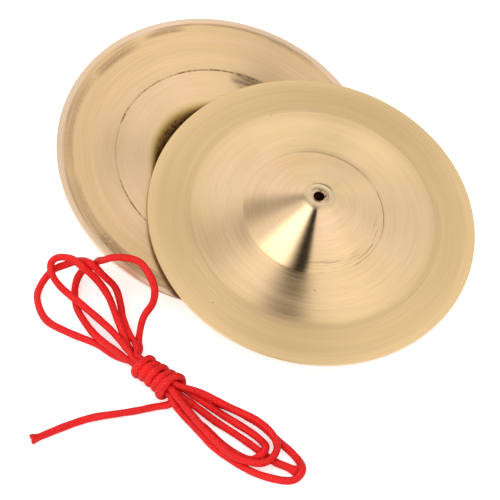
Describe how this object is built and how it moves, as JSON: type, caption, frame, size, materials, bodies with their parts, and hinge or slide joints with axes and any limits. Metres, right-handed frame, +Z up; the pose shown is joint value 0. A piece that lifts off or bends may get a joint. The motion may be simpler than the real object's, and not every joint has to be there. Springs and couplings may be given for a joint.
{
  "type": "finger cymbals",
  "caption": "Spun brass finger cymbals with conical bosses and cord holes, lying one against the other beside a knotted hank of satin cord.",
  "frame": {"origin": "centre of the rear cymbal's cord hole at its outer mouth, with the pair at rest on a table", "axes": "+Z up; +Y away from the viewer across the table, from the hank of cord towards the cymbals; +X to the viewer's right"},
  "size_m": [0.1194, 0.1393, 0.0231],
  "materials": {
    "brass": "lathe brushed, half polished",
    "cord": "satin braid"
  },
  "bodies": {
    "rear": {"rear_cymbal": "brass"},
    "front": {"front_cymbal": "brass"},
    "knot": {"knot_strands": "cord", "knot_binding": "cord"},
    "upper_loops": {"left_loop": "cord", "middle_loop": "cord", "right_loop": "cord"},
    "lower_loops": {"top_low_loop": "cord", "inner_low_loop": "cord", "long_low_loop": "cord", "cord_start": "cord"},
    "tail": {"cord_tail": "cord"}
  },
  "joints": [
    {"name": "front_cymbal_lift", "type": "slide", "parent": "rear", "child": "front", "axis": [0.1333, -0.0555, 0.9895], "range_m": [0, 0.08]},
    {"name": "hank_lift", "type": "slide", "parent": "rear", "child": "knot", "axis": [0, 0, 1], "range_m": [0, 0.06]},
    {"name": "upper_loops_fold", "type": "hinge", "parent": "knot", "child": "upper_loops", "pos_m": [-0.01905, -0.06084, 0.00481], "axis": [0.6769, 0.7361, 0], "range_deg": [0, 50]},
    {"name": "lower_loops_fold", "type": "hinge", "parent": "knot", "child": "lower_loops", "pos_m": [-0.00962, -0.06951, 0.0065], "axis": [-0.6769, -0.7361, 0], "range_deg": [0, 50]},
    {"name": "tail_swing", "type": "hinge", "parent": "knot", "child": "tail", "pos_m": [-0.00907, -0.07124, 0.00235], "axis": [0, 0, 1], "range_deg": [0, 35]}
  ]
}
